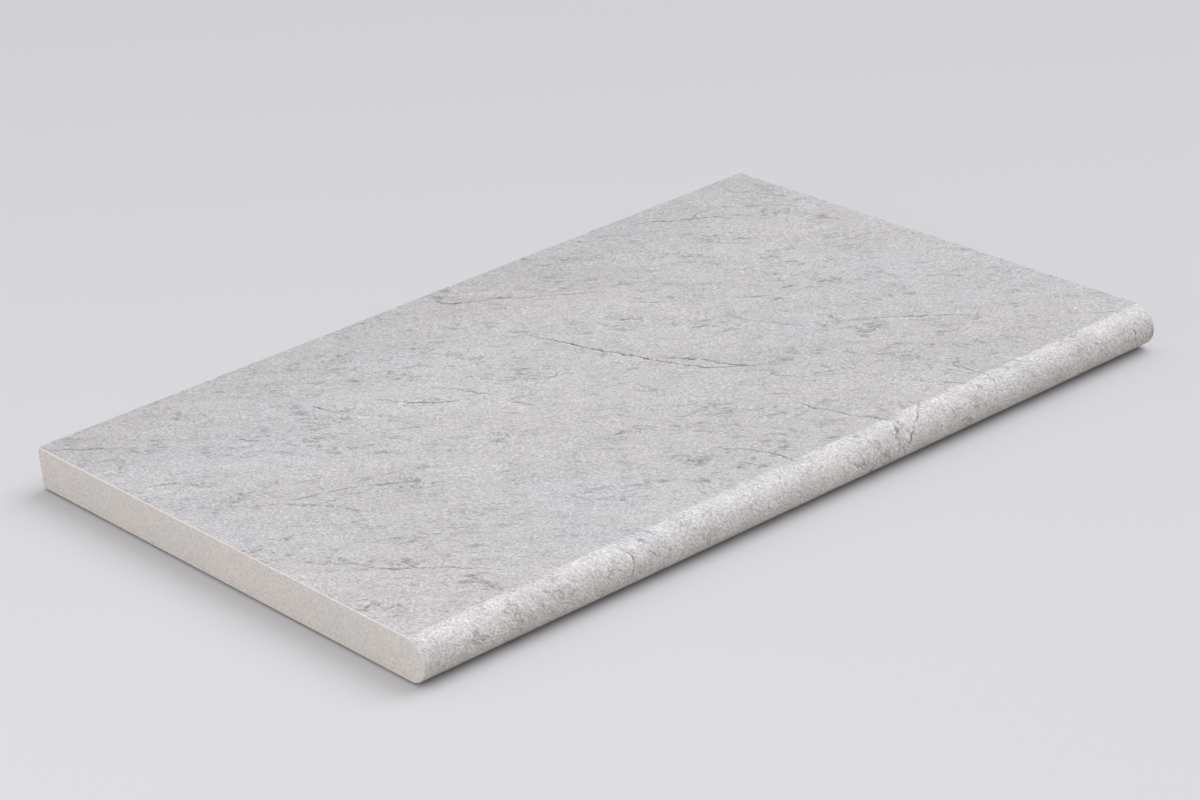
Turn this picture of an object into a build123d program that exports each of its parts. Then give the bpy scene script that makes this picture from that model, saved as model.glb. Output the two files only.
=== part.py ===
from build123d import *
import os

# A pool edge tile: one slab of pressed and fired porcelain stoneware. One long edge is a full
# bullnose that the water runs over, the other three edges are sawn square.
#
# Frame: +X runs along the nose, the nose faces -Y, +Z is up. The tile stands on the floor on its
# keying ribs, and the origin is the middle of the plan, nose included, at the ribs' faces. All
# sizes are in millimetres.

# Plan and section
tile_length = 500.0     # along the nose
tile_width = 330.0      # from the back edge to the tip of the nose
tile_thickness = 25.0   # over the keying ribs
arris = 0.6             # the corner taken off every sawn edge, so that it doesn't chip

# Keying relief of the underside: a grid of low pressed ribs, which the bed mortar grips
rib_height = 1.0
rib_lean = 45.0         # lean of the ribs' sides, in degrees, so that the punch comes free
rib_width = 6.0         # at the face that stands on the floor
rib_pitch = 30.0        # wanted spacing of the ribs, evened out to fill the field
relief_border = 15.0    # plain margin from the ribs to the edges of the flat underside

# Places worked out from the sizes above
half_length = tile_length / 2
half_width = tile_width / 2
slab_thickness = tile_thickness - rib_height
nose_radius = slab_thickness / 2             # a full bullnose: one round from face to face
nose_start = nose_radius - half_width        # Y where the flat faces end and the nose begins
flat_middle = (nose_start + half_width) / 2  # Y of the middle of the flat underside


def section():
    """The slab's outline across its width: three straight sides and the round nose."""
    with BuildSketch(Plane.YZ) as outline:
        with BuildLine():
            Line((nose_start, rib_height), (half_width, rib_height))
            Line((half_width, rib_height), (half_width, tile_thickness))
            Line((half_width, tile_thickness), (nose_start, tile_thickness))
            CenterArc((nose_start, tile_thickness - nose_radius), nose_radius, start_angle=90, arc_size=180)
        make_face()
    return outline.sketch


def slab():
    """The section drawn out to the tile's length, with the arris on every sawn edge."""
    with BuildPart() as body:
        extrude(section(), amount=half_length, both=True)
        end_edges = body.edges().filter_by_position(Axis.X, -half_length, -half_length)
        end_edges += body.edges().filter_by_position(Axis.X, half_length, half_length)
        back_edges = body.edges().filter_by(Axis.X).group_by(Axis.Y)[-1]
        chamfer(end_edges + back_edges, length=arris)
    return body.part


def rib_row(span):
    """How many pockets the ribs enclose across this span, an even number, and their spacing."""
    room = span - 2 * relief_border - rib_width
    count = 2 * max(1, round(room / (2 * rib_pitch)))
    return count, room / count


def keying_ribs():
    """The grid of ribs under the slab, with leaning sides. Two ribs cross at its middle."""
    columns, pitch_x = rib_row(tile_length)
    rows, pitch_y = rib_row(half_width - nose_start)
    with BuildPart() as ribs:
        with BuildSketch(Plane.XY):
            with Locations((0, flat_middle)):
                Rectangle(columns * pitch_x + rib_width, rows * pitch_y + rib_width)
        extrude(amount=rib_height, taper=-rib_lean)
        with BuildSketch(Plane.XY):
            with Locations((0, flat_middle)):
                with GridLocations(pitch_x, pitch_y, columns, rows):
                    Rectangle(pitch_x - rib_width, pitch_y - rib_width)
        extrude(amount=rib_height, taper=rib_lean, mode=Mode.SUBTRACT)
    return ribs.part


def coping_tile():
    """The whole tile: the slab with its keying ribs pressed on below."""
    return slab() + keying_ribs()


os.makedirs("parts", exist_ok=True)
tile = coping_tile()
tile.label = "coping_tile"
export_step(tile, "parts/coping_tile.step")
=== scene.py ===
# A pool edge tile of glazed porcelain stoneware with a full bullnose, on a studio floor.
# The body is one fired piece: its top and nose carry a stone print under a matt glaze, and its
# sawn edges and underside show the bare body.
import math

import bmesh
import bpy
import numpy as np
from mathutils import Matrix, Vector


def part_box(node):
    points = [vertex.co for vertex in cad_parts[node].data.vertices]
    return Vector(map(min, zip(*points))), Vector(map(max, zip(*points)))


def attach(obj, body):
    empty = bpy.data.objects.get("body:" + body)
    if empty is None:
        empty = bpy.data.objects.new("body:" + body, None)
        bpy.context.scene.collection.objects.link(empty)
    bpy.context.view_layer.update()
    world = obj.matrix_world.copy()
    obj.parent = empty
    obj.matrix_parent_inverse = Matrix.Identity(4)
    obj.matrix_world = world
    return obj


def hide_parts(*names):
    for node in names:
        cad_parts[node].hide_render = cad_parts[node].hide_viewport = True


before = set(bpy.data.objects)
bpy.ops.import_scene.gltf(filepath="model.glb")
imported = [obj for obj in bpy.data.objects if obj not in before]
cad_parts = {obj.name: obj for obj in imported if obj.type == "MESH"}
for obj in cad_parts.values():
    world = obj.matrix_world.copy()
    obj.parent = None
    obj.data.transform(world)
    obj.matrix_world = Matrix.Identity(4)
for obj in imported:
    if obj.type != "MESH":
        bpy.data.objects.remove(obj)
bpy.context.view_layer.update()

MM = 0.001
node_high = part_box("coping_tile")[1]

# Sizes of the tile, in metres. The outline comes from the frame, and the arris and the keying
# ribs repeat the part's own values.
arris = 0.6 * MM
rib_height = 1.0 * MM
rib_width = 6 * MM
rib_pitch = 30 * MM
relief_border = 15 * MM
top_z = node_high.z
half_length = node_high.x
back_y = node_high.y
nose_radius = (top_z - rib_height) / 2
nose_start = nose_radius - back_y
flat_reach = back_y - nose_start             # from the back edge to where the nose begins
flat_middle = (back_y + nose_start) / 2

# How finely the fired skin is meshed
skin_cell = 1.42 * MM
nose_steps = 32

# Turning the unrolled skin by this angle lays the stone's slanting bedding along x
bedding_angle = math.radians(-45)

# Fissures of the stone print, each as (strength, points). A point is the place along the tile from
# its middle and the distance over the skin from the back edge, both in mm. The strands run so
# close beside the long fissures that they are kept in a set of their own.
LONG_FISSURES = [
    (1.00, [(8, 82), (14, 105), (22, 136), (32, 168), (38, 187), (47, 203), (62, 217), (82, 234)]),
    (0.70, [(2, 2), (8, 18), (18, 27), (34, 37), (44, 49), (60, 61), (78, 80)]),
    (0.85, [(-98, 90), (-88, 110), (-79, 122), (-63, 132)]),
    (0.70, [(-228, 242), (-210, 260), (-192, 277), (-174, 303)]),
    (0.80, [(41, 262), (47, 288), (52, 305), (60, 322), (56, 342)]),
    (0.90, [(150, 10), (162, 18), (176, 30), (192, 42), (199, 60)]),
    (0.65, [(130, 210), (148, 223), (163, 238), (180, 256)]),
    (0.75, [(-250, 8), (-240, 17), (-224, 34)]),
    (0.65, [(95, 155), (101, 170), (108, 186), (115, 201)]),
    (0.45, [(124, 278), (128, 298), (132, 322), (126, 340)]),
    (0.60, [(-218, 150), (-200, 158), (-180, 164), (-158, 178), (-136, 196)]),
    (0.65, [(-240, 84), (-226, 98), (-214, 118)]),
    (0.70, [(224, 20), (233, 33), (240, 52)]),
]
SIDE_STRANDS = [
    (0.90, [(33, 166), (42, 176), (50, 190), (54, 206), (64, 219)]),
    (0.95, [(-123, 70), (-122, 88), (-116, 97)]),
    (0.80, [(88, 316), (78, 323), (68, 332), (60, 343)]),
    (0.70, [(72, 92), (83, 109), (94, 119), (106, 126)]),
    (0.65, [(-24, 270), (-13, 289), (-4, 308), (-7, 330)]),
    (0.75, [(204, 199), (211, 207), (220, 219)]),
    (0.65, [(-70, 99), (-60, 116), (-51, 140)]),
    (0.60, [(-210, 152), (-196, 170), (-178, 178)]),
    (0.60, [(176, 36), (190, 30), (206, 34)]),
    (0.60, [(-128, 318), (-120, 330), (-124, 344)]),
]

fissure_reach = 6.0       # how far to its sides a fissure is noted, in mm

# The camera stands as in the photograph, whose frame is 1200 by 800 pixels
camera_azimuth = math.radians(-38.31)
camera_elevation = math.radians(24.28)
camera_roll = math.radians(-5.10)
camera_distance = 1916.9 * MM
focal_pixels = 3593.9
frame_width, frame_height = 1200, 800
aim_pixel_x, aim_pixel_y = 606.3, 419.0      # where the middle of the tile's underside appears
sensor_width = 36.0

# The studio: half the floor's side, and where the lamps stand as they face the tile
floor_half = 6.0
key_place = (0.60, -0.12, 0.80)
fill_place = (-2.00, -0.40, 0.68)


def linear(hex_colour):
    """An sRGB hex colour as the linear RGBA that Blender's sockets hold."""
    levels = [int(hex_colour[i:i + 2], 16) / 255 for i in (0, 2, 4)]
    return [c / 12.92 if c <= 0.04045 else ((c + 0.055) / 1.055) ** 2.4 for c in levels] + [1.0]


def per_metre(size_mm):
    """The scale of a texture whose features are about this size in millimetres."""
    return 1 / (size_mm * MM)


def add(tree, kind, inputs=None, **settings):
    """Adds a node to a tree, sets its properties, and fills its sockets with values or links."""
    node = tree.nodes.new(kind)
    for name, value in settings.items():
        setattr(node, name, value)
    for key, value in (inputs or {}).items():
        if isinstance(value, bpy.types.NodeSocket):
            tree.links.new(value, node.inputs[key])
        else:
            node.inputs[key].default_value = value
    return node


def ramp(node, *stops):
    """Gives a colour ramp its stops, each a position and a grey level or a hex colour."""
    elements = node.color_ramp.elements
    while len(elements) < len(stops):
        elements.new(0.5)
    for element, (position, level) in zip(elements, stops):
        element.position = position
        element.color = linear(level) if isinstance(level, str) else (level, level, level, 1)
    return node


# The blank: the tile's outer skin, edges and margins, before its relief


def skin_section():
    """Distance over the skin, place and outward normal at each row, from the back to under the nose."""
    rows = round((flat_reach - arris) / skin_cell)
    flat = np.linspace(arris, flat_reach, rows + 1)[:-1]
    turn = np.linspace(0, math.pi, nose_steps + 1)
    travel = np.concatenate([flat, flat_reach + turn * nose_radius])
    angle = np.concatenate([np.zeros(len(flat)), turn])
    y = np.where(travel < flat_reach, back_y - travel, nose_start - nose_radius * np.sin(angle))
    z = top_z - nose_radius + nose_radius * np.cos(angle)
    return travel, np.stack([y, z], 1), np.stack([-np.sin(angle), np.cos(angle)], 1)


def fissure_field(fissures, spots):
    """For each point of the skin: how far to the side of the nearest of these fissures it lies, in
    mm and to the left or right of it, and how strong that one is there. A fissure fades out
    towards its two ends."""
    place = spots / MM
    side = np.full(len(place), fissure_reach)
    strength = np.zeros(len(place))
    for depth, points in fissures:
        points = np.array(points, float)
        runs = np.diff(points, axis=0)
        lengths = np.linalg.norm(runs, axis=1)
        before = np.concatenate([[0], np.cumsum(lengths)[:-1]])
        for start, run, length, passed in zip(points[:-1], runs, lengths, before):
            along = np.clip((place - start) @ run / length ** 2, 0, 1)
            offset = place - start - along[:, None] * run
            distance = np.linalg.norm(offset, axis=1)
            hand = np.where(run[0] * offset[:, 1] < run[1] * offset[:, 0], -1.0, 1.0)
            share = (passed + along * length) / lengths.sum()
            closer = distance < np.abs(side)
            side = np.where(closer, hand * distance, side)
            fade = np.clip(5 * np.minimum(share, 1 - share), 0, 1)
            strength = np.where(closer, depth * fade, strength)
    return side, strength


def rib_row(span):
    """How many pockets the ribs enclose across this span, an even number, and their spacing."""
    room = span - 2 * relief_border - rib_width
    count = 2 * max(1, round(room / (2 * rib_pitch)))
    return count, room / count


def rib_frame(columns, pitch_x, rows, pitch_y, outwards, z):
    """A closed row of points round the keying ribs, this far outside the middle of the outer ribs."""
    left, right = -columns / 2 * pitch_x, columns / 2 * pitch_x
    front, back = flat_middle - rows / 2 * pitch_y, flat_middle + rows / 2 * pitch_y
    row = [(left + i * pitch_x, front) for i in range(columns)]
    row += [(right, front + j * pitch_y) for j in range(rows)]
    row += [(right - i * pitch_x, back) for i in range(columns)]
    row += [(left, back - j * pitch_y) for j in range(rows)]
    stretch_x = (right + outwards) / right
    stretch_y = (back - flat_middle + outwards) / (back - flat_middle)
    return [(x * stretch_x, flat_middle + (y - flat_middle) * stretch_y, z) for x, y in row]


def skin_grid(shell, xs, section):
    """The skin's points in columns over the section, marked as skin, and the faces between them."""
    on_skin = shell.verts.layers.int.new("on_skin")
    skin = [[shell.verts.new((x, y, z)) for y, z in section] for x in xs]
    for column in skin:
        for vertex in column:
            vertex[on_skin] = 1
    faces = []
    for left, right in zip(skin[:-1], skin[1:]):
        for j in range(len(section) - 1):
            faces.append(shell.faces.new((left[j], left[j + 1], right[j + 1], right[j])))
    return skin, faces


def sawn_back(shell, skin, xs):
    """The sawn back with its two arrises: its points along the top, and the two corners below."""
    top = [shell.verts.new((x, back_y, top_z - arris)) for x in xs]
    low = [shell.verts.new((x, back_y, rib_height + arris)) for x in (xs[0], xs[-1])]
    under = [shell.verts.new((x, back_y - arris, rib_height)) for x in (xs[0], xs[-1])]
    for i in range(len(xs) - 1):
        shell.faces.new((skin[i][0], skin[i + 1][0], top[i + 1], top[i]))
    shell.faces.new(top + low[::-1])
    shell.faces.new((low[0], low[1], under[1], under[0]))
    return top, low, under


def sawn_end(shell, x, column, inset, top, low, under):
    """A sawn end, with an arris that follows the section from the skin's last column. The last
    three points are the back's corners at this end."""
    rim = [shell.verts.new((x, y, z)) for y, z in inset]
    foot = shell.verts.new((x, back_y - arris, rib_height + arris))
    for j in range(len(column) - 1):
        shell.faces.new((column[j], column[j + 1], rim[j + 1], rim[j]))
    shell.faces.new((column[-1], under, foot, rim[-1]))
    shell.faces.new((rim[0], foot, low, top))
    shell.faces.new((column[0], rim[0], top))
    shell.faces.new((under, foot, low))
    shell.faces.new(rim + [foot])


def ribbed_margin(shell, columns, pitch_x, rows, pitch_y, outline):
    """The outer half of the outer ribs with its leaning side, and the flat margin from there to
    the outline of the underside."""
    rings = []
    for outwards, z in (
        (0, 0),
        (rib_width / 2, 0),
        (rib_width / 2 + rib_height, rib_height),
    ):
        points = rib_frame(columns, pitch_x, rows, pitch_y, outwards, z)
        rings.append([shell.verts.new(point) for point in points])
    for inner, outer in zip(rings[:-1], rings[1:]):
        for k in range(len(inner)):
            following = (k + 1) % len(inner)
            shell.faces.new((inner[k], inner[following], outer[following], outer[k]))
    edges = []
    for loop in (rings[-1], outline):
        for first, second in zip(loop, loop[1:] + loop[:1]):
            edges.append(shell.edges.get((first, second)) or shell.edges.new((first, second)))
    bmesh.ops.triangle_fill(shell, edges=edges, use_beauty=True, use_dissolve=False)


def tile_blank(columns, pitch_x, rows, pitch_y):
    """The tile as a mesh, open below in the middle, where the pockets between its ribs go."""
    travel, section, normal = skin_section()
    end_x = half_length - arris
    xs = np.linspace(-end_x, end_x, round(2 * end_x / skin_cell) + 1)
    shell = bmesh.new()
    skin, skin_faces = skin_grid(shell, xs, section)
    top, low, under = sawn_back(shell, skin, xs)
    inset = section - arris * normal
    sawn_end(shell, -half_length, skin[0], inset, top[0], low[0], under[0])
    sawn_end(shell, half_length, skin[-1], inset, top[-1], low[-1], under[-1])
    outline = [column[-1] for column in skin] + under[::-1]
    ribbed_margin(shell, columns, pitch_x, rows, pitch_y, outline)
    for face in skin_faces:
        face.smooth = True
    is_skin = set(skin_faces)
    for edge in shell.edges:
        edge.smooth = len({face in is_skin for face in edge.link_faces}) == 1
    mesh = bpy.data.meshes.new("coping_tile_blank")
    shell.to_mesh(mesh)
    shell.free()
    return mesh, np.array([[x, s] for x in xs for s in travel]), np.tile(normal, (len(xs), 1))


def note_skin(mesh, spots, normals):
    """Stores on the blank's skin what its relief and its print need: where a point lies on the
    unrolled skin, which way is inward, and where the fissures run."""
    flags = np.zeros(len(mesh.vertices), np.int32)
    mesh.attributes["on_skin"].data.foreach_get("value", flags)
    chosen = flags == 1
    unrolled = np.zeros((len(flags), 3))
    unrolled[chosen, :2] = spots
    inward = np.zeros((len(flags), 3))
    inward[chosen, 1:] = -normals
    fissures = np.zeros((len(flags), 3))
    strands = np.zeros((len(flags), 3))
    for field, lines in ((fissures, LONG_FISSURES), (strands, SIDE_STRANDS)):
        field[chosen, 0], field[chosen, 1] = fissure_field(lines, spots)
    for name, values in (
        ("unrolled", unrolled),
        ("inward", inward),
        ("fissures", fissures),
        ("strands", strands),
    ):
        mesh.attributes.new(name, "FLOAT_VECTOR", "POINT").data.foreach_set("vector", values.ravel())
    face_flags = np.array([all(chosen[v] for v in face.vertices) for face in mesh.polygons])
    mesh.attributes.new("glazed", "BOOLEAN", "FACE").data.foreach_set("value", face_flags)


def pocket_cell(pitch_x, pitch_y):
    """One cell of the keying relief: half a rib all round and a pocket between leaning sides."""
    shell = bmesh.new()
    rings = []
    for inset, z in ((0, 0), (rib_width / 2, 0), (rib_width / 2 + rib_height, rib_height)):
        x, y = pitch_x / 2 - inset, pitch_y / 2 - inset
        corners = ((-x, -y, z), (x, -y, z), (x, y, z), (-x, y, z))
        rings.append([shell.verts.new(corner) for corner in corners])
    for outer, inner in zip(rings[:-1], rings[1:]):
        for k in range(4):
            shell.faces.new((outer[k], inner[k], inner[(k + 1) % 4], outer[(k + 1) % 4]))
    shell.faces.new(rings[-1][::-1])
    mesh = bpy.data.meshes.new("keying_pocket")
    shell.to_mesh(mesh)
    shell.free()
    piece = bpy.data.objects.new("keying_pocket", mesh)
    bpy.context.scene.collection.objects.link(piece)
    return piece


# Geometry trees. Each has named inputs, which are set by their sockets' identifiers.


def new_tree(name, sizes):
    """An empty geometry tree with these named inputs, its input node and its output node."""
    tree = bpy.data.node_groups.new(name, "GeometryNodeTree")
    tree.interface.new_socket("Geometry", in_out="INPUT", socket_type="NodeSocketGeometry")
    for size, kind in sizes:
        tree.interface.new_socket(size, in_out="INPUT", socket_type=kind)
    tree.interface.new_socket("Geometry", in_out="OUTPUT", socket_type="NodeSocketGeometry")
    given = tree.nodes.new("NodeGroupInput").outputs
    return tree, given, tree.nodes.new("NodeGroupOutput")


def grow(piece, tree, values):
    """Puts a geometry tree on a piece and fills its named inputs."""
    modifier = piece.modifiers.new(tree.name, "NODES")
    modifier.node_group = tree
    for socket in tree.interface.items_tree:
        if socket.in_out == "INPUT" and socket.name in values:
            modifier[socket.identifier] = values[socket.name]


def keying_tree():
    """Lays the pockets out in rows on the underside and welds them to the ribs round them."""
    tree, given, result = new_tree("keying_relief", [
        ("Pocket", "NodeSocketObject"),
        ("Columns", "NodeSocketInt"),
        ("Rows", "NodeSocketInt"),
        ("Pitch X", "NodeSocketFloat"),
        ("Pitch Y", "NodeSocketFloat"),
        ("Field Middle", "NodeSocketVector"),
        ("Body", "NodeSocketMaterial"),
    ])
    spans = []
    for count, pitch in (("Columns", "Pitch X"), ("Rows", "Pitch Y")):
        gaps = add(tree, "ShaderNodeMath", {0: given[count], 1: 1.0}, operation="SUBTRACT").outputs[0]
        span = add(tree, "ShaderNodeMath", {0: gaps, 1: given[pitch]}, operation="MULTIPLY").outputs[0]
        spans.append(span)
    grid = add(tree, "GeometryNodeMeshGrid", {
        "Size X": spans[0],
        "Size Y": spans[1],
        "Vertices X": given["Columns"],
        "Vertices Y": given["Rows"],
    }).outputs["Mesh"]
    placed = add(tree, "GeometryNodeTransform", {"Geometry": grid, "Translation": given["Field Middle"]})
    pocket = add(tree, "GeometryNodeObjectInfo", {"Object": given["Pocket"]}).outputs["Geometry"]
    pockets = add(tree, "GeometryNodeInstanceOnPoints", {
        "Points": placed.outputs["Geometry"],
        "Instance": pocket,
    }).outputs["Instances"]
    real = add(tree, "GeometryNodeRealizeInstances", {"Geometry": pockets}).outputs["Geometry"]
    joined = add(tree, "GeometryNodeJoinGeometry")
    tree.links.new(given["Geometry"], joined.inputs[0])
    tree.links.new(real, joined.inputs[0])
    welded = add(tree, "GeometryNodeMergeByDistance", {
        "Geometry": joined.outputs[0],
        "Distance": 0.01 * MM,
    }).outputs["Geometry"]
    painted = add(tree, "GeometryNodeSetMaterial", {"Geometry": welded, "Material": given["Body"]})
    tree.links.new(painted.outputs["Geometry"], result.inputs[0])
    return tree


def pressed_shares(tree, bedding):
    """The slow swell, the ripples drawn out along the bedding and the small pits, each as a share
    of its full depth."""
    long_grain = add(tree, "ShaderNodeVectorMath", {
        0: bedding, 1: (0.4, 1.0, 1.0),
    }, operation="MULTIPLY").outputs[0]

    swell = add(tree, "ShaderNodeTexNoise", {
        "Vector": bedding, "Scale": per_metre(55), "Detail": 1.0, "Roughness": 0.4,
    }).outputs["Fac"]
    ripple = add(tree, "ShaderNodeTexNoise", {
        "Vector": long_grain, "Scale": per_metre(9), "Detail": 2.5, "Roughness": 0.62,
        "Distortion": 0.4,
    }).outputs["Fac"]
    ripple = add(tree, "ShaderNodeMapRange", {
        "Value": ripple, "From Min": 0.30, "From Max": 0.75,
    }).outputs[0]
    pits = add(tree, "ShaderNodeTexNoise", {
        "Vector": bedding, "Scale": per_metre(4.6), "Detail": 0.5,
    }).outputs["Fac"]
    pits = add(tree, "ShaderNodeMapRange", {
        "Value": pits, "From Min": 0.56, "From Max": 0.75,
    }, interpolation_type="SMOOTHSTEP").outputs[0]
    return swell, ripple, pits


def wandering_fissures(tree, given, spot, bedding):
    """Makes the fissures wander to either side of their drawn lines and break off here and there,
    stores the changed lines, and works out how much of the full depth each set's grooves have."""
    wander = add(tree, "ShaderNodeTexNoise", {
        "Vector": spot, "Scale": per_metre(13), "Detail": 3.0, "Roughness": 0.6,
    }).outputs["Fac"]
    wander = add(tree, "ShaderNodeMath", {0: wander, 1: 0.5}, operation="SUBTRACT").outputs[0]
    wander = add(tree, "ShaderNodeMath", {
        0: wander, 1: given["Fissure Wander"],
    }, operation="MULTIPLY").outputs[0]
    breaks = add(tree, "ShaderNodeTexNoise", {
        "Vector": bedding, "Scale": per_metre(11), "Detail": 2.0, "Roughness": 0.6,
    }).outputs["Fac"]
    breaks = add(tree, "ShaderNodeMapRange", {
        "Value": breaks, "From Min": 0.36, "From Max": 0.54, "To Min": 0.25, "To Max": 1.0,
    }).outputs[0]
    geometry = given["Geometry"]
    grooves = []
    for name in ("fissures", "strands"):
        drawn = add(tree, "GeometryNodeInputNamedAttribute", {"Name": name}, data_type="FLOAT_VECTOR")
        drawn = add(tree, "ShaderNodeSeparateXYZ", {0: drawn.outputs["Attribute"]}).outputs
        side = add(tree, "ShaderNodeMath", {0: drawn["X"], 1: wander}, operation="ADD").outputs[0]
        strength = add(tree, "ShaderNodeMath", {
            0: drawn["Y"], 1: breaks,
        }, operation="MULTIPLY").outputs[0]
        line = add(tree, "ShaderNodeCombineXYZ", {"X": side, "Y": strength}).outputs[0]
        geometry = add(tree, "GeometryNodeStoreNamedAttribute", {
            "Geometry": geometry, "Name": name, "Value": line,
        }, data_type="FLOAT_VECTOR", domain="POINT").outputs["Geometry"]
        beside = add(tree, "ShaderNodeMath", {0: side}, operation="ABSOLUTE").outputs[0]
        groove = add(tree, "ShaderNodeMapRange", {
            "Value": beside, "From Min": 0.0, "From Max": 2.4, "To Min": 1.0, "To Max": 0.0,
        }, interpolation_type="SMOOTHSTEP").outputs[0]
        groove = add(tree, "ShaderNodeMath", {0: groove, 1: strength}, operation="MULTIPLY").outputs[0]
        grooves.append(groove)
    return geometry, grooves


def stone_tree():
    """Presses the stone's relief into the skin, always inward, and glazes the skin's faces.

    The depth is a slow swell, ripples along the bedding, small pits and the fissures' grooves.
    It is stored on the points as pressed_depth, in millimetres, and each set of fissures is
    stored again with its line made to wander, so that the print falls into the grooves."""
    tree, given, result = new_tree("stone_relief", [
        ("Swell Depth", "NodeSocketFloat"),
        ("Ripple Depth", "NodeSocketFloat"),
        ("Pit Depth", "NodeSocketFloat"),
        ("Fissure Depth", "NodeSocketFloat"),
        ("Fissure Wander", "NodeSocketFloat"),
        ("Bedding Angle", "NodeSocketFloat"),
        ("Nose Start", "NodeSocketFloat"),
        ("Seed", "NodeSocketFloat"),
        ("Glaze", "NodeSocketMaterial"),
        ("Body", "NodeSocketMaterial"),
    ])
    spot = add(tree, "GeometryNodeInputNamedAttribute", {"Name": "unrolled"}, data_type="FLOAT_VECTOR")
    inward = add(tree, "GeometryNodeInputNamedAttribute", {"Name": "inward"}, data_type="FLOAT_VECTOR")
    glazed = add(tree, "GeometryNodeInputNamedAttribute", {"Name": "glazed"}, data_type="BOOLEAN")
    spot = spot.outputs["Attribute"]
    axis = add(tree, "ShaderNodeCombineXYZ", {"Z": given["Bedding Angle"]}).outputs[0]
    turned = add(tree, "ShaderNodeVectorRotate", {
        "Vector": spot, "Rotation": axis,
    }, rotation_type="EULER_XYZ").outputs[0]
    shift = add(tree, "ShaderNodeCombineXYZ", {"Z": given["Seed"]}).outputs[0]
    bedding = add(tree, "ShaderNodeVectorMath", {0: turned, 1: shift}, operation="ADD").outputs[0]
    swell, ripple, pits = pressed_shares(tree, bedding)
    geometry, grooves = wandering_fissures(tree, given, spot, bedding)

    total = None
    for share, depth in (
        (swell, given["Swell Depth"]),
        (ripple, given["Ripple Depth"]),
        (pits, given["Pit Depth"]),
        (grooves[0], given["Fissure Depth"]),
        (grooves[1], given["Fissure Depth"]),
    ):
        part = add(tree, "ShaderNodeMath", {0: share, 1: depth}, operation="MULTIPLY").outputs[0]
        if total is not None:
            part = add(tree, "ShaderNodeMath", {0: total, 1: part}, operation="ADD").outputs[0]
        total = part

    # The nose is ground round before it is glazed, so its relief is shallower
    reach = add(tree, "ShaderNodeSeparateXYZ", {0: spot}).outputs["Y"]
    over_nose = add(tree, "ShaderNodeMath", {
        0: reach, 1: given["Nose Start"],
    }, operation="SUBTRACT").outputs[0]
    ease = add(tree, "ShaderNodeMapRange", {
        "Value": over_nose, "From Min": -3 * MM, "From Max": 5 * MM, "To Min": 1.0, "To Max": 0.4,
    }, interpolation_type="SMOOTHSTEP").outputs[0]
    depth = add(tree, "ShaderNodeMath", {0: total, 1: ease}, operation="MULTIPLY").outputs[0]
    kept = add(tree, "GeometryNodeStoreNamedAttribute", {
        "Geometry": geometry, "Name": "pressed_depth", "Value": depth,
    }, data_type="FLOAT", domain="POINT").outputs["Geometry"]
    metres = add(tree, "ShaderNodeMath", {0: depth, 1: MM}, operation="MULTIPLY").outputs[0]
    push = add(tree, "ShaderNodeVectorMath", {
        0: inward.outputs["Attribute"], "Scale": metres,
    }, operation="SCALE").outputs[0]
    pressed = add(tree, "GeometryNodeSetPosition", {"Geometry": kept, "Offset": push})
    real = add(tree, "GeometryNodeRealizeInstances", {"Geometry": pressed.outputs["Geometry"]})
    bare = add(tree, "GeometryNodeSetMaterial", {
        "Geometry": real.outputs["Geometry"], "Material": given["Body"],
    })
    finished = add(tree, "GeometryNodeSetMaterial", {
        "Geometry": bare.outputs["Geometry"],
        "Selection": glazed.outputs["Attribute"],
        "Material": given["Glaze"],
    })
    tree.links.new(finished.outputs["Geometry"], result.inputs[0])
    return tree


# Materials


def new_material(name):
    """A material with a principled shader, its tree and that shader."""
    material = bpy.data.materials.new(name)
    material.use_nodes = True
    tree = material.node_tree
    return material, tree, tree.nodes["Principled BSDF"]


def bedding_ways(tree, spot):
    """The unrolled skin turned so that its bedding runs along x and sways by some 22 mm, and the
    same squeezed along the bedding, so that what is sampled there comes out longer that way."""
    bedding = add(tree, "ShaderNodeVectorRotate", {
        "Vector": spot, "Axis": (0, 0, 1), "Angle": bedding_angle,
    }, rotation_type="AXIS_ANGLE").outputs[0]
    warp = add(tree, "ShaderNodeTexNoise", {
        "Vector": bedding, "Scale": per_metre(45), "Detail": 2.0, "Roughness": 0.5,
    }).outputs["Color"]
    warp = add(tree, "ShaderNodeVectorMath", {0: warp, "Scale": 22 * MM}, operation="SCALE").outputs[0]
    bent = add(tree, "ShaderNodeVectorMath", {0: bedding, 1: warp}, operation="ADD").outputs[0]
    ways = {"bedding": bent}
    for name, squeeze in (("crystal", 0.52), ("grain", 0.42), ("vein", 0.28), ("dash", 0.17)):
        ways[name] = add(tree, "ShaderNodeVectorMath", {
            0: bent, 1: (squeeze, 1.0, 1.0),
        }, operation="MULTIPLY").outputs[0]
    return ways


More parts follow.
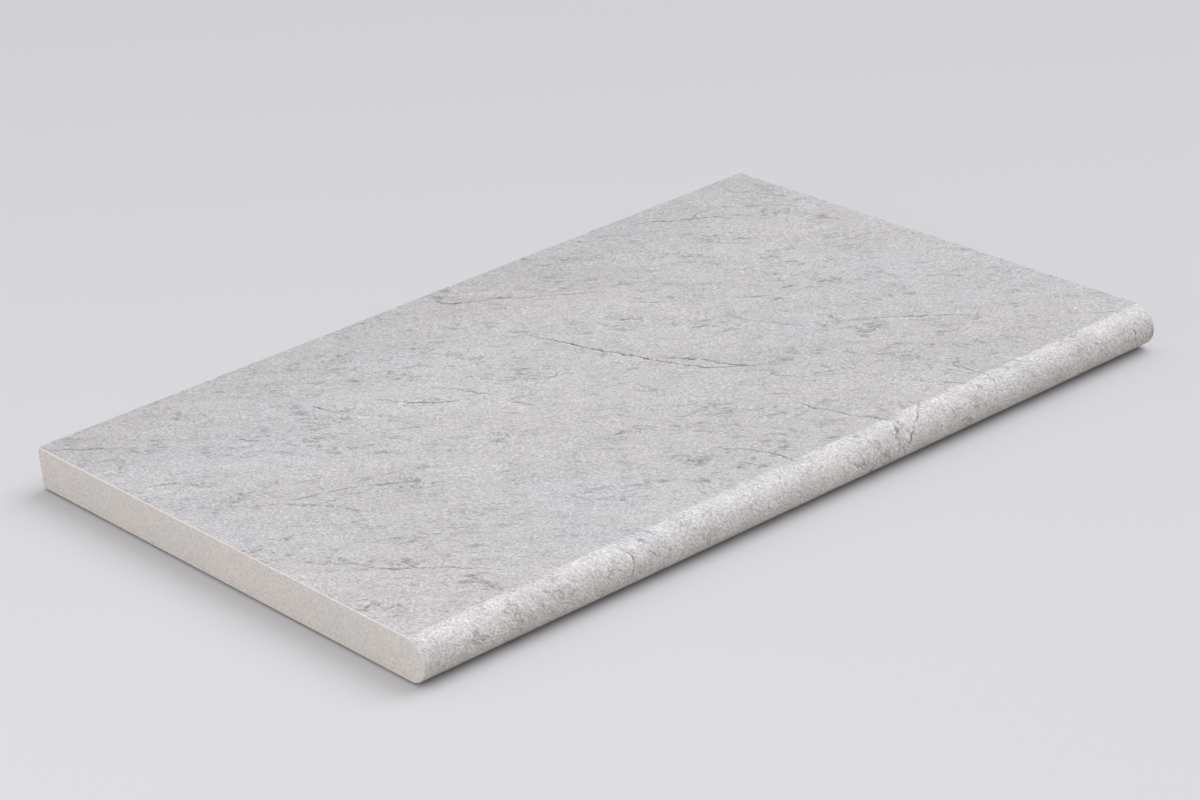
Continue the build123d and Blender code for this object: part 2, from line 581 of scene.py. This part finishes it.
def print_noises(tree, spot, ways):
    """The noises of the print by name: what each is sampled along, its size in mm, its detail and
    its roughness. The real print's grain is finer than a preview shows, so crystal is drawn
    coarser than it is."""
    noises = {}
    for name, where, size_mm, detail, roughness in (
        ("hue", ways["grain"], 80, 4.0, 0.60),
        ("cloud", ways["dash"], 46, 3.0, 0.55),
        ("mottle", ways["dash"], 9, 3.0, 0.60),
        ("streak", ways["vein"], 3.4, 4.0, 0.70),
        ("crystal", ways["crystal"], 0.85, 1.5, 0.75),
        ("drift", ways["bedding"], 26, 3.0, 0.65),
        ("fleck", ways["grain"], 1.5, 2.0, 0.65),
        ("long_vein", ways["vein"], 24, 6.0, 0.62),
        ("long_vein_field", ways["bedding"], 30, 2.0, 0.50),
        ("short_vein", ways["dash"], 6.5, 5.0, 0.62),
        ("break", ways["bedding"], 6, 1.0, 0.50),
        ("nose_cloud", spot, 15, 3.0, 0.65),
        ("ragged", spot, 2.6, 2.0, 0.60),
        ("border", spot, 6, 2.0, 0.50),
        ("skin_grain", ways["grain"], 2.2, 4.0, 0.65),
    ):
        noises[name] = add(tree, "ShaderNodeTexNoise", {
            "Vector": where, "W": 1.7 * len(noises), "Scale": per_metre(size_mm),
            "Detail": detail, "Roughness": roughness,
        }, noise_dimensions="4D").outputs["Fac"]
    return noises


def print_fields(tree, noises):
    """Where the dark flecks and veins stand, where the pale flecks do, where veins break off, and
    how far the fissures' edges and the nose's border stray."""
    fields = {}
    for name, source, low, high, at_low, at_high in (
        ("dark_drift", "drift", 0.44, 0.62, 0.1, 1.0),
        ("pale_drift", "drift", 0.58, 0.38, 0.2, 1.0),
        ("dark_fleck", "fleck", 0.58, 0.68, 0.0, 1.0),
        ("pale_fleck", "fleck", 0.40, 0.30, 0.0, 1.0),
        ("long_vein_field", "long_vein_field", 0.42, 0.54, 0.0, 1.0),
        ("unbroken", "break", 0.40, 0.54, 0.0, 1.0),
        ("ragged", "ragged", 0.25, 0.75, -0.9, 0.9),
        ("border", "border", 0.3, 0.7, -0.8 * MM, 0.8 * MM),
        ("nose_cloud", "nose_cloud", 0.3, 0.7, -1.0, 1.0),
    ):
        fields[name] = add(tree, "ShaderNodeMapRange", {
            "Value": noises[source],
            "From Min": low,
            "From Max": high,
            "To Min": at_low,
            "To Max": at_high,
        }).outputs[0]
    return fields


def fleck_and_vein_marks(tree, noises, fields):
    """Flecks within their drifts, and veins. A vein runs where a stretched noise crosses its
    middle: long hair veins that show in places, and short ragged ones in the dark drifts."""
    marks = {}
    for name, drift in (("dark_fleck", "dark_drift"), ("pale_fleck", "pale_drift")):
        marks[name] = add(tree, "ShaderNodeMath", {
            0: fields[name], 1: fields[drift],
        }, operation="MULTIPLY").outputs[0]
    for name, width, field in (
        ("long_vein", 0.014, "long_vein_field"),
        ("short_vein", 0.022, "dark_drift"),
    ):
        beside = add(tree, "ShaderNodeMath", {0: noises[name], 1: 0.5}, operation="SUBTRACT").outputs[0]
        beside = add(tree, "ShaderNodeMath", {0: beside}, operation="ABSOLUTE").outputs[0]
        vein = add(tree, "ShaderNodeMapRange", {
            "Value": beside, "From Min": 0.2 * width, "From Max": width, "To Min": 1.0, "To Max": 0.0,
        }).outputs[0]
        vein = add(tree, "ShaderNodeMath", {0: vein, 1: fields[field]}, operation="MULTIPLY").outputs[0]
        marks[name] = add(tree, "ShaderNodeMath", {
            0: vein, 1: fields["unbroken"],
        }, operation="MULTIPLY").outputs[0]
    return marks


def fissure_marks(tree, fields):
    """Fissures: a dark broken line, a painted highlight on its lower side where the groove's lit
    flank would be, and dark flecks round it. Each part has its middle and its inner and outer half
    width, in mm."""
    marks = {}
    for name in ("fissures", "strands"):
        drawn = add(tree, "ShaderNodeAttribute", attribute_name=name).outputs["Vector"]
        drawn = add(tree, "ShaderNodeSeparateXYZ", {0: drawn}).outputs
        side = add(tree, "ShaderNodeMath", {
            0: drawn["X"], 1: fields["ragged"],
        }, operation="ADD").outputs[0]
        for part, middle, inner, outer in (
            ("core", 0.0, 0.25, 1.0),
            # A pale line 1.4 mm to one side: painted highlight, standing in for the groove's lit flank
            ("lip", 1.4, 0.2, 1.1),
            ("halo", 0.0, 0.5, 4.5),
        ):
            beside = add(tree, "ShaderNodeMath", {0: side, 1: middle}, operation="SUBTRACT").outputs[0]
            beside = add(tree, "ShaderNodeMath", {0: beside}, operation="ABSOLUTE").outputs[0]
            line = add(tree, "ShaderNodeMapRange", {
                "Value": beside, "From Min": inner, "From Max": outer, "To Min": 1.0, "To Max": 0.0,
            }, interpolation_type="SMOOTHSTEP").outputs[0]
            line = add(tree, "ShaderNodeMath", {0: line, 1: drawn["Y"]}, operation="MULTIPLY").outputs[0]
            marks[name + "_" + part] = line
        marks[name + "_flecks"] = add(tree, "ShaderNodeMath", {
            0: marks[name + "_halo"], 1: fields["dark_fleck"],
        }, operation="MULTIPLY").outputs[0]
    return marks


def multiplied_tones(tree, tones):
    """Every tone of the print, and of the painted shade and highlights, is a share of the light,
    and this is all the shares multiplied. A tone is a source, its range, and the share at either end
    of that range."""
    tone = 1.0
    for source, low, high, at_low, at_high in tones:
        share = add(tree, "ShaderNodeMapRange", {
            "Value": source, "From Min": low, "From Max": high, "To Min": at_low, "To Max": at_high,
        }).outputs[0]
        tone = add(tree, "ShaderNodeMath", {0: tone, 1: share}, operation="MULTIPLY").outputs[0]
    return tone


def printed_matt_glaze():
    """Porcelain stoneware's inkjet stone print under a matt glaze. The eye sees a light grey
    quartzite with faint cool and warm clouds, pale and dark flecks drawn out along its bedding,
    and dark fissures and hair veins. The nose is printed lighter, and turns creamier underneath.
    Painted light is mixed into the colour: a painted highlight beside each fissure, a little
    painted shade in the deeper relief, and painted shade towards the top's back edge."""
    material, tree, shader = new_material("printed_matt_glaze")
    spot = add(tree, "ShaderNodeAttribute", attribute_name="unrolled").outputs["Vector"]
    pressed = add(tree, "ShaderNodeAttribute", attribute_name="pressed_depth").outputs["Fac"]
    noises = print_noises(tree, spot, bedding_ways(tree, spot))
    fields = print_fields(tree, noises)
    marks = fleck_and_vein_marks(tree, noises, fields)
    marks.update(fissure_marks(tree, fields))

    # Cool and warm greys that change over some 80 mm
    colour = ramp(add(tree, "ShaderNodeValToRGB", {"Fac": noises["hue"]}),
                  (0.36, "C5C4C6"), (0.50, "C6C4C4"), (0.64, "C7C4C3")).outputs["Color"]

    # The nose is lighter and cloudier, from the line where the flat face ends, and the top is
    #     painted darker towards the back edge, painted shade as of light that falls off there. Low on
    #     the nose the glaze thins out and the body's cream shows through it.
    reach = add(tree, "ShaderNodeSeparateXYZ", {0: spot}).outputs["Y"]
    edge = add(tree, "ShaderNodeMath", {0: reach, 1: fields["border"]}, operation="ADD").outputs[0]
    on_nose = add(tree, "ShaderNodeMapRange", {
        "Value": edge, "From Min": flat_reach - 0.3 * MM, "From Max": flat_reach + 1.2 * MM,
    }).outputs[0]
    nose_cloud = add(tree, "ShaderNodeMath", {
        0: fields["nose_cloud"], 1: on_nose,
    }, operation="MULTIPLY").outputs[0]
    thin_glaze = add(tree, "ShaderNodeMapRange", {
        "Value": edge, "From Min": flat_reach + 8 * MM, "From Max": flat_reach + 24 * MM,
        "To Min": 0.0, "To Max": 0.7,
    }).outputs[0]
    colour = add(tree, "ShaderNodeMix", {
        "Factor": thin_glaze, "A": colour, "B": linear("C8C2BA"),
    }, data_type="RGBA").outputs["Result"]
    tone = multiplied_tones(tree, (
        (noises["cloud"], 0.3, 0.7, 0.96, 1.04),
        (noises["mottle"], 0.3, 0.7, 0.965, 1.035),
        (noises["streak"], 0.28, 0.72, 0.95, 1.05),
        (noises["crystal"], 0.25, 0.75, 0.57, 1.43),
        # Painted shade: the more deeply pressed relief is up to 2% darker, its high points 2% lighter
        (pressed, 0.1, 0.5, 1.02, 0.98),
        (fields["dark_drift"], 0.1, 1.0, 1.005, 0.985),
        (marks["dark_fleck"], 0.0, 1.0, 1.0, 0.84),
        (marks["pale_fleck"], 0.0, 1.0, 1.0, 1.25),
        (marks["long_vein"], 0.0, 1.0, 1.0, 0.62),
        (marks["short_vein"], 0.0, 1.0, 1.0, 0.66),
        (marks["fissures_core"], 0.0, 1.0, 1.0, 0.32),
        (marks["strands_core"], 0.0, 1.0, 1.0, 0.36),
        (marks["fissures_flecks"], 0.0, 1.0, 1.0, 0.68),
        (marks["strands_flecks"], 0.0, 1.0, 1.0, 0.68),
        # Painted highlight beside the fissures and the strands
        (marks["fissures_lip"], 0.0, 1.0, 1.0, 1.15),
        (marks["strands_lip"], 0.0, 1.0, 1.0, 1.14),
        (on_nose, 0.0, 1.0, 1.0, 1.195),
        (nose_cloud, -1.0, 1.0, 0.92, 1.08),
        # Painted shade: the top darkens by a tenth over its last 90 mm towards the back edge
        (edge, 0.0, 90 * MM, 0.90, 1.0),
    ))
    colour = add(tree, "ShaderNodeVectorMath", {0: colour, "Scale": tone}, operation="SCALE").outputs[0]
    roughness = add(tree, "ShaderNodeMapRange", {
        "Value": noises["crystal"], "From Min": 0.3, "From Max": 0.7, "To Min": 0.48, "To Max": 0.66,
    }).outputs[0]

    # The skin's own grain, with the fissures sunk into it
    height = noises["skin_grain"]
    for name in ("fissures_core", "strands_core"):
        height = add(tree, "ShaderNodeMath", {
            0: height, 1: marks[name],
        }, operation="SUBTRACT").outputs[0]
    bump = add(tree, "ShaderNodeBump", {"Height": height, "Strength": 1.0, "Distance": 0.16 * MM})

    tree.links.new(colour, shader.inputs["Base Color"])
    tree.links.new(roughness, shader.inputs["Roughness"])
    tree.links.new(bump.outputs["Normal"], shader.inputs["Normal"])
    shader.inputs["IOR"].default_value = 1.5
    return material


def sawn_porcelain_body():
    """Unglazed through-body porcelain, pressed from spray-dried grains and sawn with a diamond
    blade. The eye sees a dull cream grey with grains of slightly different tone."""
    material, tree, shader = new_material("sawn_porcelain_body")
    spot = add(tree, "ShaderNodeTexCoord").outputs["Object"]
    cloud = add(tree, "ShaderNodeTexNoise", {
        "Vector": spot, "Scale": per_metre(25), "Detail": 3.0, "Roughness": 0.5,
    }).outputs["Fac"]
    cloud = ramp(add(tree, "ShaderNodeValToRGB", {"Fac": cloud}),
                 (0.35, "ECE8E3"), (0.50, "EEE8E3"), (0.65, "F0E8E2")).outputs["Color"]
    grains = add(tree, "ShaderNodeTexNoise", {
        "Vector": spot, "Scale": per_metre(1.3), "Detail": 2.0, "Roughness": 0.6,
    }).outputs["Fac"]
    grains = ramp(add(tree, "ShaderNodeValToRGB", {"Fac": grains}),
                  (0.30, 0.83), (0.50, 1.0), (0.70, 1.11))
    colour = add(tree, "ShaderNodeMix", {
        "Factor": 1.0, "A": cloud, "B": grains.outputs["Color"],
    }, data_type="RGBA", blend_type="MULTIPLY").outputs["Result"]
    tree.links.new(colour, shader.inputs["Base Color"])
    shader.inputs["Roughness"].default_value = 0.85
    shader.inputs["IOR"].default_value = 1.5
    fine = add(tree, "ShaderNodeTexNoise", {
        "Vector": spot, "Scale": per_metre(0.9), "Detail": 2.0,
    }).outputs["Fac"]
    bump = add(tree, "ShaderNodeBump", {"Height": fine, "Strength": 1.0, "Distance": 0.04 * MM})
    tree.links.new(bump.outputs["Normal"], shader.inputs["Normal"])
    return material


def seen_share(tree):
    """One for the rays by which the surroundings are seen, straight, mirrored or through glass, and
    none for the rays that only carry their light to the tile."""
    path = add(tree, "ShaderNodeLightPath").outputs
    seen = path["Is Camera Ray"]
    for kind in ("Is Glossy Ray", "Is Transmission Ray"):
        seen = add(tree, "ShaderNodeMath", {0: seen, 1: path[kind]}, operation="ADD").outputs[0]
    return seen


def studio_floor_paper():
    """Pale grey paper sweep, matt, painted a little darker towards the back of the studio: painted
    shade, as of light falling off there. The tile gets less light back from it than its paleness
    to the camera would give."""
    material, tree, shader = new_material("studio_floor_paper")
    spot = add(tree, "ShaderNodeTexCoord").outputs["Object"]
    reach = add(tree, "ShaderNodeVectorMath", {0: spot, 1: (0.62, 0.78, 0)}, operation="DOT_PRODUCT")
    far = add(tree, "ShaderNodeMapRange", {
        "Value": reach.outputs["Value"], "From Min": -0.3, "From Max": 1.6,
    }).outputs[0]
    # Painted shade: the floor as seen darkens from near to far
    pale = ramp(add(tree, "ShaderNodeValToRGB", {"Fac": far}), (0.0, "D8D8DB"), (1.0, "C6C7CA"))
    colour = add(tree, "ShaderNodeMix", {
        "Factor": seen_share(tree), "A": linear("B9B9BB"), "B": pale.outputs["Color"],
    }, data_type="RGBA").outputs["Result"]
    tree.links.new(colour, shader.inputs["Base Color"])
    shader.inputs["Roughness"].default_value = 0.9
    shader.inputs["Specular IOR Level"].default_value = 0.2
    return material


# The tile


def coping_tile():
    """The fired tile as one closed mesh, made from its blank by the two relief trees."""
    columns, pitch_x = rib_row(2 * half_length)
    rows, pitch_y = rib_row(back_y - nose_start)
    mesh, spots, normals = tile_blank(columns, pitch_x, rows, pitch_y)
    note_skin(mesh, spots, normals)
    blank = bpy.data.objects.new("blank", mesh)
    bpy.context.scene.collection.objects.link(blank)
    pocket = pocket_cell(pitch_x, pitch_y)
    glaze, body = printed_matt_glaze(), sawn_porcelain_body()
    grow(blank, keying_tree(), {
        "Pocket": pocket,
        "Columns": columns,
        "Rows": rows,
        "Pitch X": pitch_x,
        "Pitch Y": pitch_y,
        "Field Middle": (0, flat_middle, 0),
        "Body": body,
    })
    # Depths and the fissures' wander are in millimetres
    grow(blank, stone_tree(), {
        "Swell Depth": 0.12,
        "Ripple Depth": 0.36,
        "Pit Depth": 0.16,
        "Fissure Depth": 0.35,
        "Fissure Wander": 7.0,
        "Bedding Angle": bedding_angle,
        "Nose Start": flat_reach,
        "Seed": 0.37,
        "Glaze": glaze,
        "Body": body,
    })
    bpy.context.view_layer.update()
    graph = bpy.context.evaluated_depsgraph_get()
    fired = bpy.data.meshes.new_from_object(
        blank.evaluated_get(graph),
        preserve_all_data_layers=True,
        depsgraph=graph,
    )
    fired.name = "fired_tile"
    for piece in (blank, pocket):
        bpy.data.objects.remove(piece)
    shell = bmesh.new()
    shell.from_mesh(fired)
    bmesh.ops.recalc_face_normals(shell, faces=shell.faces)
    shell.to_mesh(fired)
    shell.free()
    tile = bpy.data.objects.new("fired_tile", fired)
    bpy.context.scene.collection.objects.link(tile)
    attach(tile, "root")
    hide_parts("coping_tile")


# The studio


def studio_floor():
    """The level floor that the tile lies on, far wider than the picture."""
    corners = [(i * floor_half, j * floor_half, 0) for i, j in ((-1, -1), (1, -1), (1, 1), (-1, 1))]
    mesh = bpy.data.meshes.new("studio_floor")
    mesh.from_pydata(corners, [], [(0, 1, 2, 3)])
    mesh.materials.append(studio_floor_paper())
    floor = bpy.data.objects.new("studio_floor", mesh)
    bpy.context.scene.collection.objects.link(floor)


def aim(holder, place):
    """Puts a lamp at a place, facing the tile."""
    holder.location = place
    holder.rotation_euler = (-Vector(place)).to_track_quat("-Z", "Y").to_euler()
    bpy.context.scene.collection.objects.link(holder)


def studio_light():
    """Pale light from all round and more of it from above, behind a backdrop as pale as the far end
    of the floor, a broad key light from the upper right, and a faint softbox, low on the left, that
    lights the sawn end."""
    world = bpy.data.worlds.new("studio")
    bpy.context.scene.world = world
    world.use_nodes = True
    tree = world.node_tree
    way = add(tree, "ShaderNodeTexCoord").outputs["Generated"]
    height = add(tree, "ShaderNodeSeparateXYZ", {0: way}).outputs["Z"]
    level = add(tree, "ShaderNodeMapRange", {
        "Value": height, "From Min": 0.0, "From Max": 0.6, "To Min": 0.295, "To Max": 0.77,
    }).outputs[0]
    seen = seen_share(tree)
    colour = add(tree, "ShaderNodeMix", {
        "Factor": seen, "A": linear("FBFAFA"), "B": linear("C7C7CB"),
    }, data_type="RGBA").outputs["Result"]
    strength = add(tree, "ShaderNodeMix", {"Factor": seen, "A": level, "B": 1.0}, data_type="FLOAT")
    background = tree.nodes["Background"]
    tree.links.new(colour, background.inputs["Color"])
    tree.links.new(strength.outputs["Result"], background.inputs["Strength"])

    key = bpy.data.lights.new("key_light", "SUN")
    key.angle = math.radians(50)
    key.energy = 1.32
    key.color = linear("FAFAFF")[:3]
    aim(bpy.data.objects.new("key_light", key), key_place)

    fill = bpy.data.lights.new("fill_softbox", "AREA")
    fill.shape = "SQUARE"
    fill.size = 1.0
    fill.energy = 5.6
    fill.color = linear("FFFCF8")[:3]
    aim(bpy.data.objects.new("fill_softbox", fill), fill_place)


def studio_camera():
    """The photograph's view: a long lens, high in front of the tile's left end."""
    azimuth, elevation = camera_azimuth, camera_elevation
    back = Vector((
        math.sin(azimuth) * math.cos(elevation),
        -math.cos(azimuth) * math.cos(elevation),
        math.sin(elevation),
    ))
    level = Vector((math.cos(azimuth), math.sin(azimuth), 0))
    upright = back.cross(level)
    right = math.cos(camera_roll) * level + math.sin(camera_roll) * upright
    up = math.cos(camera_roll) * upright - math.sin(camera_roll) * level
    per_pixel = camera_distance / focal_pixels
    place = back * camera_distance
    place -= right * (aim_pixel_x - frame_width / 2) * per_pixel
    place += up * (aim_pixel_y - frame_height / 2) * per_pixel
    lens = bpy.data.cameras.new("studio_camera")
    lens.sensor_width = sensor_width
    lens.lens = focal_pixels * sensor_width / frame_width
    camera = bpy.data.objects.new("studio_camera", lens)
    camera.matrix_world = Matrix.Translation(place) @ Matrix((right, up, back)).transposed().to_4x4()
    bpy.context.scene.collection.objects.link(camera)
    bpy.context.scene.camera = camera


studio_camera()
coping_tile()
studio_floor()
studio_light()
bpy.context.scene.view_settings.view_transform = "Standard"
